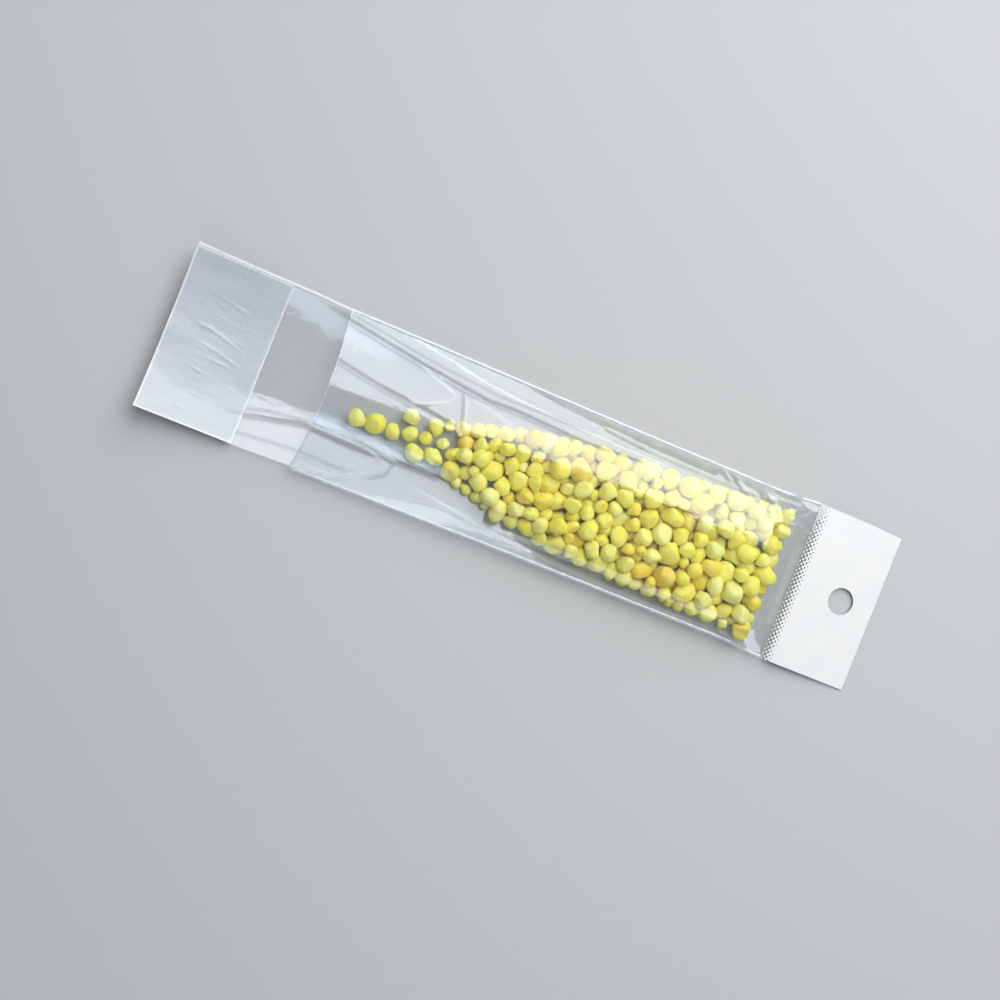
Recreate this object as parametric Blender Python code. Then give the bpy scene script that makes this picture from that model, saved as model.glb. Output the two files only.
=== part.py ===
"""A slim clear film header bag lying on its back, partly filled with wax pastilles.

The film is one piece: a back ply that runs on as the adhesive flap, a front ply that stops at the
open mouth, side welds, a cross seal, and a doubled header with a hang hole. Its printed header
panel, the adhesive strip, the release liner and the pastilles are solids of their own.

X runs along the bag from the flap to the header, Y across it, and Z up from the surface it lies on.
"""

import math

import bmesh
import bpy
import numpy as np
from mathutils import Matrix, Vector
from mathutils.geometry import delaunay_2d_cdt

# Driving dimensions of the film, in metres
bag_width = 0.050
pocket_length = 0.1500
header_length = 0.0288
flap_length = 0.0457
mouth_dip = 0.0018
film_gauge = 0.00008
side_weld = 0.0010
hang_hole_diameter = 0.0080
hang_hole_margin = 0.0113

# How the filled bag bulges where it lies
mouth_gape = 0.0062
filled_height = 0.0096
seal_height = 0.0024
weld_share = 0.36
crown_rise_run = 0.100
crown_fall_run = 0.0150
underside_rise_run = 0.0065
arch_run = 0.110
flat_share_empty, flat_share_filled = 0.12, 0.72
crown_power_empty, crown_power_filled = 2.1, 4.3
flap_curl = 0.0050
flap_side_fade = 0.0200
flap_cup_share = 0.85

# Pleats pressed into the front ply beside the seal's corners
pucker_depth = 0.0006
pucker_reach = 0.0140
pucker_start_share = 0.45
pucker_count = 5

# Layers on the film
layer_gap = 0.0001
liner_length = 0.0283
liner_thickness = 0.00008
adhesive_width = 0.0115
adhesive_margin = 0.0105
adhesive_thickness = 0.00008
print_thickness = 0.00006
print_fade = 0.0046
print_tooth_pitch = 0.0021
print_tooth_tip = 0.0005
print_margin = 0.0003

# The pastilles
pastille_diameter = 0.0045
pastille_spread = 0.20
pastille_least_share, pastille_most_share = 0.70, 1.45
pastille_flatness = 0.86
pastille_narrowness = 0.93
pastille_clearance = 0.0003
pastille_turn = 0.7
heap_end_gap = 0.0062
packing_density = 0.60
settle_seed = 8
settle_rounds = 600
settle_step = 0.00004
settle_push = 0.4
neighbour_share, neighbour_rounds = 1.35, 12

# The separate pastilles at the heap's tip: how far from the mouth to the seal, how far to a side
# and the diameter, as shares of the pocket's length, half its inner width and the usual diameter
tip_pastilles = (
    (0.0880, -0.165, 1.11),
    (0.1269, -0.144, 1.33),
    (0.1659, -0.153, 1.11),
    (0.1902, 0.098, 1.16),
    (0.1978, -0.098, 1.02),
    (0.2180, -0.298, 1.24),
    (0.2570, -0.256, 1.20),
)

tip_run_share = 0.279

# Where a pastille may touch the film besides straight over its centre, as shares of its radius
beside_share = 0.6
edge_height = math.sqrt(1 - beside_share ** 2)

# The heap in plan: how far from the mouth to the seal, and its low and high side, as shares of
# the pocket's length and of half its inner width
heap_plan = (
    (0.215, -0.10, 0.16),
    (0.310, -0.49, 0.34),
    (0.440, -0.71, 0.54),
    (0.570, -0.83, 0.67),
    (0.740, -0.87, 0.75),
    (1.000, -0.93, 0.85),
)

# Mesh fineness
pocket_stations = 30
seal_crowding = 1.35
flap_stations = 9
film_columns = 16
hole_segments = 40
pastille_segments = 10
pastille_rings = 7
heap_slices = 90
heap_step = 0.0013
heap_chord_share = 0.1
heap_sharp = math.radians(50)
heap_end_row = 8
heap_valley_share = 0.35
heap_tuck = 0.0006
heap_ring_shares = ((0.0, 1), (0.6, 6), (0.92, 8))
heap_seen = 0.00005
heap_nearest = 0.0006

# Worked out from the driving dimensions
total_length = flap_length + pocket_length + header_length
flap_end = -total_length / 2
header_end = total_length / 2
mouth_x = flap_end + flap_length
seal_x = header_end - header_length
hang_hole_x = header_end - hang_hole_margin


def smooth(share):
    """0 below 0, 1 above 1, and an easy curve between."""
    share = np.clip(share, 0.0, 1.0)
    return share * share * (3 - 2 * share)


def near_seal(x, run):
    """1 away from the seal, easing to 0 at it over the run."""
    return np.sin(np.pi / 2 * np.clip((seal_x - x) / run, 0.0, 1.0))


def underside(x):
    """Height of the back ply's middle: flat on the surface, lifting only to the seal."""
    return seal_height * (1 - near_seal(x, underside_rise_run))


def crown(x):
    """Height of the front ply's middle."""
    full = mouth_gape + (filled_height - mouth_gape) * smooth((x - mouth_x) / crown_rise_run)
    return seal_height + (full - seal_height) * near_seal(x, crown_fall_run)


def weld_height(x):
    """Height of the side welds, which the two plies pull up together."""
    return underside(x) + weld_share * (crown(x) - underside(x))


def half_width(x):
    """Half the bag's width: arching the plies over the filling draws the welds inwards."""
    flat = bag_width / 2
    rise = (crown(x) - weld_height(x)) * flap_flat(x)
    return flat / (1 + 2 / 3 * (rise / flat) ** 2)


def filled(x, empty_value, filled_value):
    """A value that changes from the empty mouth to the filled end."""
    return empty_value + (filled_value - empty_value) * smooth((x - mouth_x) / arch_run)


def flat_share(x):
    """The share of the back ply's width that lies flat."""
    return filled(x, flat_share_empty, flat_share_filled)


def inner_half_width(x):
    return half_width(x) - side_weld


def flap_flat(x):
    """1 at the mouth, easing to 0 where the flap has flattened out."""
    return 1 - smooth((mouth_x - x) / flap_side_fade)


def pucker(x, across):
    """Height that the short pleats beside the seal's two corners add."""
    reach = np.clip(1 - (seal_x - x) / pucker_reach, 0.0, 1.0)
    corner = np.clip((np.abs(across) - pucker_start_share) / (1 - pucker_start_share), 0.0, 1.0)
    fade = 16 * reach * (1 - reach) * corner * (1 - corner)
    return pucker_depth * fade * np.sin(2 * np.pi * pucker_count * across)


def back_z(x, across):
    """Lower face of the back ply and of the flap."""
    flat = flat_share(x)
    side = np.clip((np.abs(across) - flat) / (1 - flat), 0.0, 1.0)
    out = np.clip((mouth_x - x) / flap_length, 0.0, 1.0)
    kept = flap_cup_share + (1 - flap_cup_share) * flap_flat(x)
    lifted = (weld_height(x) - underside(x)) * kept * side * side
    return underside(x) + lifted + flap_curl * out ** 3


def front_z(x, across):
    """Upper face of the front ply."""
    low = weld_height(x) + 2 * film_gauge
    arch = 1 - np.abs(across) ** filled(x, crown_power_empty, crown_power_filled)
    return low + (crown(x) - weld_height(x)) * arch + pucker(x, across)


def mouth_at(across):
    """The mouth's cut edge, which the arch of the front ply draws in at the middle."""
    return mouth_x + mouth_dip * (1 - across * across)


def header_z(x):
    """Lower face of the header, which slopes from the seal down to the surface."""
    return seal_height * (header_end - x) / header_length


def material(name, colour, roughness, metallic=0.0, alpha=1.0):
    made = bpy.data.materials.new(name)
    made.use_nodes = True
    shader = made.node_tree.nodes["Principled BSDF"]
    shader.inputs["Base Color"].default_value = (*colour, 1.0)
    shader.inputs["Roughness"].default_value = roughness
    shader.inputs["Metallic"].default_value = metallic
    shader.inputs["Alpha"].default_value = alpha
    made.diffuse_color = (*colour, alpha)
    return made


def add_object(name, mesh, finish):
    mesh.materials.append(finish)
    made = bpy.data.objects.new(name, mesh)
    bpy.context.scene.collection.objects.link(made)
    return made


def mesh_of(name, build):
    """A mesh filled by build(bm), with its faces pointing out."""
    bm = bmesh.new()
    build(bm)
    bmesh.ops.recalc_face_normals(bm, faces=bm.faces)
    mesh = bpy.data.meshes.new(name)
    bm.to_mesh(mesh)
    bm.free()
    return mesh


def bridge(bm, first, second):
    """Quads between two rows of vertices, or a triangle where the rows share a vertex."""
    for near, far, far_next, near_next in zip(first, second, second[1:], first[1:]):
        corners = list(dict.fromkeys((near, far, far_next, near_next)))
        if len(corners) > 2:
            bm.faces.new(corners)


def across_places():
    """Places across the film as shares of half its width, closer together towards the welds."""
    return [math.sin(math.pi * (column / film_columns - 0.5)) for column in range(film_columns + 1)]


def film_row(bm, x_of, height, lift, to_edge=True):
    """A row of vertices across one face of the film. x_of gives its place along the bag for a place
    across it, and to_edge adds the weld's outer edge at both ends."""
    made = []
    for across in across_places():
        x = x_of(across)
        made.append(bm.verts.new((x, across * inner_half_width(x), height(x, across) + lift)))
    if not to_edge:
        return made
    edges = []
    for across in (-1, 1):
        x = x_of(across)
        edges.append(bm.verts.new((x, across * half_width(x), height(x, across) + lift)))
    return [edges[0], *made, edges[1]]


def from_mouth(end, share):
    """Rows that start in the mouth's curve and straighten towards a place along the bag."""
    return lambda across: mouth_at(across) + (end - mouth_at(across)) * share


def join_ends(bm, row, other, inner):
    """Lets a row use the end vertices of another, so that two plies meet there."""
    span = range(1, len(row) - 1) if inner else (0, -1)
    for column in span:
        bm.verts.remove(row[column])
        row[column] = other[column - 1] if inner else other[column]


def skin(bm, rows):
    for first, second in zip(rows, rows[1:]):
        bridge(bm, first, second)


def edge_of(rows, end):
    return [row[end] for row in rows]


def add_pocket(bm):
    """The two plies between the mouth and the seal. They share their inner edge along each weld, and
    their inner faces meet at the seal."""
    shares = [1 - (1 - step / pocket_stations) ** seal_crowding for step in range(pocket_stations + 1)]
    stations = [from_mouth(seal_x, share) for share in shares]
    front_outer = [film_row(bm, x_of, front_z, 0.0) for x_of in stations]
    back_outer = [film_row(bm, x_of, back_z, 0.0) for x_of in stations]
    back_inner = [film_row(bm, x_of, back_z, film_gauge, to_edge=False) for x_of in stations]
    front_inner = []
    for x_of, back_row in zip(stations[:-1], back_inner):
        row = film_row(bm, x_of, front_z, -film_gauge, to_edge=False)
        join_ends(bm, row, back_row, inner=False)
        front_inner.append(row)
    front_inner.append(back_inner[-1])

    for rows in (front_outer, back_outer, front_inner, back_inner):
        skin(bm, rows)
    for end in (0, -1):
        bridge(bm, edge_of(front_outer[1:], end), edge_of(back_outer[1:], end))
    return front_outer, back_outer, front_inner, back_inner


def add_flap(bm, pocket):
    """The back ply past the mouth, and the cut edge of the front ply."""
    front_outer, back_outer, front_inner, back_inner = pocket
    shares = [step / flap_stations for step in range(1, flap_stations + 1)]
    stations = [from_mouth(flap_end, share) for share in shares]
    first = film_row(bm, mouth_at, back_z, film_gauge)
    join_ends(bm, first, back_inner[0], inner=True)
    upper = [first] + [film_row(bm, x_of, back_z, film_gauge) for x_of in stations]
    lower = [back_outer[0]] + [film_row(bm, x_of, back_z, 0.0) for x_of in stations]
    skin(bm, upper)
    skin(bm, lower)
    bridge(bm, upper[-1], lower[-1])
    for end in (0, -1):
        bridge(bm, edge_of(upper, end), edge_of(lower, end))
        above, below = edge_of(front_outer[:2], end), edge_of(back_outer[:2], end)
        bm.faces.new((*above, *reversed(below), first[end]))
    bridge(bm, front_outer[0], [first[0], *front_inner[0], first[-1]])


def add_header(bm, pocket):
    """The two plies fused flat from the seal to the bag's end."""
    top_at_seal, low_at_seal = pocket[0][-1], pocket[1][-1]
    to_end = Vector((header_length, 0, -seal_height))
    top, low = ([bm.verts.new(v.co + to_end) for v in row] for row in (top_at_seal, low_at_seal))
    bridge(bm, top_at_seal, top)
    bridge(bm, low_at_seal, low)
    bridge(bm, top, low)
    for end in (0, -1):
        bm.faces.new((top_at_seal[end], top[end], low[end], low_at_seal[end]))


def build_film(bm):
    pocket = add_pocket(bm)
    add_flap(bm, pocket)
    add_header(bm, pocket)


def header_frame():
    """Turns a shape drawn level about the hang hole's centre into the header's sloping plane."""
    centre = Vector((hang_hole_x, 0, header_z(hang_hole_x) + film_gauge))
    tilt = math.atan2(seal_height, header_length)
    return Matrix.Translation(centre) @ Matrix.Rotation(tilt, 4, "Y")


def add_hole_cutter():
    def build(bm):
        bmesh.ops.create_cone(
            bm,
            cap_ends=True,
            segments=hole_segments,
            radius1=hang_hole_diameter / 2,
            radius2=hang_hole_diameter / 2,
            depth=hang_hole_diameter,
            matrix=header_frame(),
        )

    mesh = mesh_of("hang_hole_cutter", build)
    cutter = bpy.data.objects.new("hang_hole_cutter", mesh)
    bpy.context.scene.collection.objects.link(cutter)
    cutter.hide_render = True
    cutter.display_type = "WIRE"
    return cutter


def cut_hang_hole(piece, cutter):
    cut = piece.modifiers.new("hang_hole", "BOOLEAN")
    cut.operation = "DIFFERENCE"
    cut.solver = "EXACT"
    cut.object = cutter


def add_film(finish, cutter):
    piece = add_object("film_bag", mesh_of("film_bag", build_film), finish)
    cut_hang_hole(piece, cutter)


def add_header_print(finish, cutter):
    """The white printed field, whose edge at the seal breaks up into points."""
    half = bag_width / 2 - print_margin
    start = seal_x + print_margin
    full = start + print_fade
    end = header_end - print_margin
    teeth = max(2, round(2 * half / print_tooth_pitch))
    pitch = 2 * half / teeth
    tip = print_tooth_tip / 2

    outline = [(end, -half), (end, half)]
    for tooth in range(teeth):
        root = half - tooth * pitch
        outline += [(full, root), (start, root - pitch / 2 + tip), (start, root - pitch / 2 - tip)]
    outline.append((full, -half))

    def build(bm):
        low = 2 * film_gauge + layer_gap
        bottom = [bm.verts.new((x, y, header_z(x) + low)) for x, y in outline]
        face = bm.faces.new(bottom)
        made = bmesh.ops.extrude_face_region(bm, geom=[face])["geom"]
        bmesh.ops.translate(
            bm,
            verts=[part for part in made if isinstance(part, bmesh.types.BMVert)],
            vec=(0, 0, print_thickness),
        )
        bmesh.ops.triangulate(bm, faces=[part for part in bm.faces if len(part.verts) > 4])

    piece = add_object("header_print", mesh_of("header_print", build), finish)
    cut_hang_hole(piece, cutter)


def add_flap_layer(name, start, end, low, thickness, finish):
    """A thin strip that lies across the flap, between two places along it."""
    count = max(3, math.ceil((end - start) / (flap_length / flap_stations)))
    stations = [start + (end - start) * step / count for step in range(count + 1)]

    def build(bm):
        tops, bottoms = [], []
        for x in stations:
            at = from_mouth(x, 1.0)
            bottoms.append(film_row(bm, at, back_z, low, to_edge=False))
            tops.append(film_row(bm, at, back_z, low + thickness, to_edge=False))
        skin(bm, tops)
        skin(bm, bottoms)
        for end in (0, -1):
            bridge(bm, tops[end], bottoms[end])
            bridge(bm, edge_of(tops, end), edge_of(bottoms, end))

    add_object(name, mesh_of(name, build), finish)


def add_flap_layers(adhesive, liner):
    adhesive_start = flap_end + adhesive_margin
    adhesive_low = film_gauge + layer_gap
    add_flap_layer(
        "adhesive_strip",
        adhesive_start,
        adhesive_start + adhesive_width,
        adhesive_low,
        adhesive_thickness,
        adhesive,
    )
    liner_low = adhesive_low + adhesive_thickness + layer_gap
    add_flap_layer(
        "release_liner", flap_end, flap_end + liner_length, liner_low, liner_thickness, liner
    )


def heap_sides(x):
    """Low and high side of the heap at x, from its plan."""
    share = (x - mouth_x) / (seal_x - heap_end_gap - mouth_x)
    stations, low, high = zip(*heap_plan)
    inner = inner_half_width(x)
    return inner * np.interp(share, stations, low), inner * np.interp(share, stations, high)


def floor_at(x, y):
    """The height that a pastille's underside keeps clear of the back ply."""
    return back_z(x, y / inner_half_width(x)) + film_gauge + pastille_clearance


def roof_at(x, y):
    """The height that a pastille's top keeps clear of the front ply."""
    return front_z(x, y / inner_half_width(x)) - film_gauge - pastille_clearance


def heap_span():
    """Where the heap starts and ends along the bag."""
    end = seal_x - heap_end_gap
    return mouth_x + heap_plan[0][0] * (end - mouth_x), end


def scatter_pastilles(rng):
    """Centres and radii: those at the tip first, then random ones that fill the heap's space."""
    start, end = heap_span()
    stations = np.linspace(start, end, heap_slices)
    low, high = heap_sides(stations)
    roof = roof_at(stations, 0.0)
    depth = np.maximum(high - low, pastille_diameter) * (roof - pastille_diameter / 2)
    volume = float(depth.sum() * (stations[1] - stations[0]))
    single = math.pi / 6 * pastille_diameter ** 3 * (1 + 3 * pastille_spread ** 2)
    count = int(packing_density * volume / single)

    radii = pastille_diameter / 2 * np.clip(
        rng.normal(1.0, pastille_spread, count), pastille_least_share, pastille_most_share
    )
    x = rng.choice(stations, count, p=depth / depth.sum())
    y = np.interp(x, stations, low) + rng.random(count) * np.interp(x, stations, high - low)
    z = radii + rng.random(count) * np.interp(x, stations, roof - pastille_diameter)
    along, across, size = np.array(tip_pastilles).T
    tip_x = mouth_x + along * (end - mouth_x)
    tip_y = across * inner_half_width(tip_x)
    tip_radii = size * pastille_diameter / 2
    spot = np.stack((np.append(tip_x, x), np.append(tip_y, y), np.append(tip_radii, z)), axis=1)
    return spot, np.append(tip_radii, radii)


def settle_pastilles():
    """Centres and radii of the pastilles, pushed apart until they lie still, and which of them lie
    loose at the heap's tip."""
    spot, radii = scatter_pastilles(np.random.default_rng(settle_seed))
    start, end = heap_span()
    parting_x = mouth_x + tip_run_share * (end - mouth_x)
    tip = spot[:len(tip_pastilles), :2].copy()
    loose = spot[:, 0] < parting_x
    least_x = np.where(loose, start, parting_x + pastille_clearance / 2) + radii
    most_x = np.where(loose, parting_x - pastille_clearance / 2, end) - radii
    beside, drop = beside_share * radii, edge_height * radii

    for turn in range(settle_rounds):
        if turn % neighbour_rounds == 0:
            apart = np.linalg.norm(spot[:, None] - spot[None], axis=2)
            near = np.triu(apart < neighbour_share * (radii[:, None] + radii[None]), 1)
            one, other = np.nonzero(near)
        spot[:, 2] -= settle_step
        between = spot[one] - spot[other]
        distance = np.linalg.norm(between, axis=1) + 1e-9
        overlap = np.clip(radii[one] + radii[other] - distance, 0, None)
        push = settle_push * between * (overlap / distance)[:, None]
        np.add.at(spot, one, push)
        np.add.at(spot, other, -push)
        spot[:, 0] = np.clip(spot[:, 0], least_x, most_x)
        low, high = heap_sides(spot[:, 0])
        middle = (low + high) / 2
        low, high = np.minimum(low + radii, middle), np.maximum(high - radii, middle)
        spot[:, 1] = np.clip(spot[:, 1], low, high)
        spot[:len(tip), :2] = tip
        x, y = spot[:, 0], spot[:, 1]
        out_y = y + np.sign(y) * beside
        floor = np.maximum(floor_at(x, y) + radii, floor_at(x, out_y) + drop)
        roof = np.minimum(roof_at(x, y) - radii, roof_at(x, out_y) - drop)
        roof = np.minimum(roof, roof_at(x + beside, y) - drop)
        spot[:, 2] = np.clip(spot[:, 2], floor, np.maximum(roof, floor))
    return spot, radii, loose


def add_pastille(name, centre, radius, turn, finish):
    def build(bm):
        bmesh.ops.create_uvsphere(
            bm, u_segments=pastille_segments, v_segments=pastille_rings, radius=radius
        )
        bmesh.ops.scale(bm, vec=(1.0, pastille_narrowness, pastille_flatness), verts=bm.verts)
        bmesh.ops.rotate(bm, matrix=Matrix.Rotation(turn, 3, "Z"), verts=bm.verts)

    mesh = mesh_of(name, build)
    mesh.shade_smooth()
    piece = add_object(name, mesh, finish)
    piece.location = centre


class HeapShape:
    """The packed pastilles seen from above: their outline and the height of their upper side."""

    def __init__(self, spot, radii):
        self.spot, self.radii = spot, radii

    def chords(self, axis, place):
        """Half the length that a line at this place cuts from each pastille."""
        return np.sqrt(np.clip(self.radii ** 2 - (self.spot[:, axis] - place) ** 2, 0, None))

    def extent(self, axis, place):
        """How far the pastilles reach along the other axis, on a line at this place."""
        half = self.chords(axis, place)
        hit = half > heap_chord_share * self.radii
        along = self.spot[hit, 1 - axis]
        return (along - half[hit]).min(), (along + half[hit]).max()

    def top(self, x, y):
        flat = np.hypot(self.spot[:, 0] - x, self.spot[:, 1] - y)
        rise = np.sqrt(np.clip(self.radii ** 2 - flat ** 2, 0, None))
        reach = np.where(flat < self.radii, self.spot[:, 2] + pastille_flatness * rise, 0)
        lowest = floor_at(x, y) + heap_valley_share * pastille_diameter
        return min(max(reach.max(), lowest), roof_at(x, y))

    def outline(self):
        """Points round the heap: up its low side, across its end, back and across its start."""
        order = np.sort(self.spot[:, 0])
        first, last = order[heap_end_row // 2], order[-heap_end_row]
        count = round((last - first) / heap_step)
        sides = [(x, *self.extent(0, x)) for x in np.linspace(first, last, count + 1)]
        low_side = [(x, low) for x, low, _ in sides]
        high_side = [(x, high) for x, _, high in sides]

        def across(start, end, which):
            count = round((end[1] - start[1]) / heap_step)
            places = np.linspace(start[1], end[1], count + 1)[1:-1]
            edge = start[0] + (2 * which - 1) * heap_step / 3
            pick = (min, max)[which]
            return [(pick(self.extent(1, y)[which], edge), y) for y in places]

        end_side = across(low_side[-1], high_side[-1], 1)
        start_side = across(low_side[0], high_side[0], 0)
        return low_side + end_side + high_side[::-1] + start_side[::-1]

    def rounds(self):
        """A point at each pastille's crown and rings of points round it, where it is uppermost."""
        for (x, y, z), radius in zip(self.spot, self.radii):
            for share, count in heap_ring_shares:
                for step in range(count):
                    turn = 2 * math.pi * (step + share) / count
                    place = (x + share * radius * math.cos(turn), y + share * radius * math.sin(turn))
                    own = z + pastille_flatness * radius * math.sqrt(1 - share ** 2)
                    if self.top(*place) < own + heap_seen:
                        yield place


def add_heap(spot, radii, finish):
    """The pastilles that lie packed together, as one lumpy solid on a flat underside."""
    shape = HeapShape(spot, radii)
    outline = shape.outline()
    ring = [(place, (place + 1) % len(outline)) for place in range(len(outline))]
    points = [Vector(place) for place in outline]
    for place in map(Vector, shape.rounds()):
        if min((place - other).length for other in points) > heap_nearest:
            points.append(place)
    places, _, faces, *_ = delaunay_2d_cdt(points, ring, [], 1, 1e-7)
    middle = spot[:, 0].mean()

    def build(bm):
        tops = [bm.verts.new((*place, shape.top(*place))) for place in places]
        for face in faces:
            bm.faces.new([tops[corner] for corner in face])
        rim = [tops[corner] for corner in range(len(outline))]
        sole = []
        for vertex in rim:
            flat = flat_share(vertex.co.x) * inner_half_width(vertex.co.x)
            x = vertex.co.x - math.copysign(heap_tuck, vertex.co.x - middle)
            y = min(max(vertex.co.y * (1 - heap_tuck / flat), -flat), flat)
            sole.append(bm.verts.new((x, y, floor_at(x, y))))
        bridge(bm, [*rim, rim[0]], [*sole, sole[0]])
        low = bm.faces.new(sole)
        bmesh.ops.triangulate(bm, faces=[low])

    mesh = mesh_of("pastille_heap", build)
    mesh.shade_smooth()
    mesh.set_sharp_from_angle(angle=heap_sharp)
    add_object("pastille_heap", mesh, finish)


def add_pastilles(finish):
    spot, radii, loose = settle_pastilles()
    from_tip = np.flatnonzero(loose)[np.argsort(spot[loose, 0])]
    for number, index in enumerate(from_tip, start=1):
        apart = np.linalg.norm(spot - spot[index], axis=1)
        apart[index] = np.inf
        share = radii[index] / (radii[index] + radii)
        radius = min(radii[index], float((apart * share).min())) - pastille_clearance / 4
        add_pastille(f"pastille_{number:02d}", spot[index], radius, pastille_turn * number, finish)
    add_heap(spot[~loose], radii[~loose], finish)


def main():
    for old in list(bpy.data.objects):
        bpy.data.objects.remove(old, do_unlink=True)
    film = material("clear_film", (0.86, 0.90, 0.94), 0.06, alpha=0.25)
    white_ink = material("white_ink", (0.94, 0.94, 0.94), 0.35)
    glue = material("adhesive", (0.80, 0.83, 0.86), 0.45, alpha=0.6)
    frosted = material("release_film", (0.74, 0.80, 0.86), 0.40, alpha=0.8)
    wax = material("yellow_wax", (0.90, 0.78, 0.16), 0.45)

    cutter = add_hole_cutter()
    add_film(film, cutter)
    add_header_print(white_ink, cutter)
    add_flap_layers(glue, frosted)
    add_pastilles(wax)


main()
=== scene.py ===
"""The slim clear header bag with its wax pastilles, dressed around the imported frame."""

import math

import bmesh
import bpy
import numpy as np
from mathutils import Matrix, Vector


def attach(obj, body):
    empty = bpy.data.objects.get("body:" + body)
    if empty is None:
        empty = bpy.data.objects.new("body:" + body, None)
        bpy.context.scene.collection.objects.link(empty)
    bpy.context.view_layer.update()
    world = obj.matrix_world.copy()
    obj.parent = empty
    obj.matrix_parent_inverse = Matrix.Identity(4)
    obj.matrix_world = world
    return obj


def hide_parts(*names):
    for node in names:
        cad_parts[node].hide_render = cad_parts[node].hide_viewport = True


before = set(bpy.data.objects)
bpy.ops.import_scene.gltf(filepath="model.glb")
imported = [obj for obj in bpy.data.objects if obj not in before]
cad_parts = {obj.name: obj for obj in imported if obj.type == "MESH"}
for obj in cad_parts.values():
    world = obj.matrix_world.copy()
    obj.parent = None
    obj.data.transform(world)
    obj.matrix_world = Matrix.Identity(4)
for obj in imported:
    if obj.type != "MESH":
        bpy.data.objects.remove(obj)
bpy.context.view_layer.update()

# Driving dimensions of the film, in metres
bag_width = 0.050
pocket_length = 0.1500
header_length = 0.0288
flap_length = 0.0457
mouth_dip = 0.0018
film_gauge = 0.00008
side_weld = 0.0010
hang_hole_diameter = 0.0080
hang_hole_margin = 0.0113

# How the filled bag bulges where it lies
mouth_gape = 0.0062
filled_height = 0.0096
seal_height = 0.0024
weld_share = 0.36
crown_rise_run = 0.100
crown_fall_run = 0.0150
underside_rise_run = 0.0065
arch_run = 0.110
flat_share_empty, flat_share_filled = 0.12, 0.72
crown_power_empty, crown_power_filled = 2.1, 4.3
flap_curl = 0.0050
flap_side_fade = 0.0200
flap_cup_share = 0.85

# Pleats pressed into the front ply beside the seal's corners
pucker_depth = 0.0006
pucker_reach = 0.0140
pucker_start_share = 0.45
pucker_count = 5

# Layers on the film
layer_gap = 0.0001
liner_length = 0.0283
liner_thickness = 0.00008
adhesive_width = 0.0115
adhesive_margin = 0.0105
adhesive_thickness = 0.00008
print_thickness = 0.00006
print_fade = 0.0046
print_margin = 0.0003

# The pastilles
pastille_diameter = 0.0045
pastille_spread = 0.20
pastille_least_share, pastille_most_share = 0.70, 1.45
pastille_flatness = 0.86
pastille_narrowness = 0.93
pastille_clearance = 0.0003
heap_end_gap = 0.0062
packing_density = 0.60
settle_seed = 8
settle_rounds = 600
settle_step = 0.00004
settle_push = 0.4
neighbour_share, neighbour_rounds = 1.35, 12

# The separate pastilles at the heap's tip: how far from the mouth to the seal, how far to a side
# and the diameter, as shares of the pocket's length, half its inner width and the usual diameter
tip_pastilles = (
    (0.0880, -0.165, 1.11),
    (0.1269, -0.144, 1.33),
    (0.1659, -0.153, 1.11),
    (0.1902, 0.098, 1.16),
    (0.1978, -0.098, 1.02),
    (0.2180, -0.298, 1.24),
    (0.2570, -0.256, 1.20),
)
tip_run_share = 0.279

# Where a pastille may touch the film besides straight over its centre, as shares of its radius
beside_share = 0.6
edge_height = math.sqrt(1 - beside_share ** 2)

# The heap in plan: how far from the mouth to the seal, and its low and high side, as shares of
# the pocket's length and of half its inner width
heap_plan = (
    (0.215, -0.10, 0.16),
    (0.310, -0.49, 0.34),
    (0.440, -0.71, 0.54),
    (0.570, -0.83, 0.67),
    (0.740, -0.87, 0.75),
    (1.000, -0.93, 0.85),
)
heap_slices = 90

# Worked out from the driving dimensions
total_length = flap_length + pocket_length + header_length
flap_end = -total_length / 2
header_end = total_length / 2
mouth_x = flap_end + flap_length
seal_x = header_end - header_length
hang_hole_x = header_end - hang_hole_margin


def smooth(share):
    """0 below 0, 1 above 1, and an easy curve between."""
    share = np.clip(share, 0.0, 1.0)
    return share * share * (3 - 2 * share)


def near_seal(x, run):
    """1 away from the seal, easing to 0 at it over the run."""
    return np.sin(np.pi / 2 * np.clip((seal_x - x) / run, 0.0, 1.0))


def underside(x):
    """Height of the back ply's middle: flat on the surface, lifting only to the seal."""
    return seal_height * (1 - near_seal(x, underside_rise_run))


def crown(x):
    """Height of the front ply's middle."""
    full = mouth_gape + (filled_height - mouth_gape) * smooth((x - mouth_x) / crown_rise_run)
    return seal_height + (full - seal_height) * near_seal(x, crown_fall_run)


def weld_height(x):
    """Height of the side welds, which the two plies pull up together."""
    return underside(x) + weld_share * (crown(x) - underside(x))


def half_width(x):
    """Half the bag's width: arching the plies over the filling draws the welds inwards."""
    flat = bag_width / 2
    rise = (crown(x) - weld_height(x)) * flap_flat(x)
    return flat / (1 + 2 / 3 * (rise / flat) ** 2)


def filled(x, empty_value, filled_value):
    """A value that changes from the empty mouth to the filled end."""
    return empty_value + (filled_value - empty_value) * smooth((x - mouth_x) / arch_run)


def flat_share(x):
    """The share of the back ply's width that lies flat."""
    return filled(x, flat_share_empty, flat_share_filled)


def inner_half_width(x):
    return half_width(x) - side_weld


def flap_flat(x):
    """1 at the mouth, easing to 0 where the flap has flattened out."""
    return 1 - smooth((mouth_x - x) / flap_side_fade)


def pucker(x, across):
    """Height that the short pleats beside the seal's two corners add."""
    reach = np.clip(1 - (seal_x - x) / pucker_reach, 0.0, 1.0)
    corner = np.clip((np.abs(across) - pucker_start_share) / (1 - pucker_start_share), 0.0, 1.0)
    fade = 16 * reach * (1 - reach) * corner * (1 - corner)
    return pucker_depth * fade * np.sin(2 * np.pi * pucker_count * across)


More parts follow.
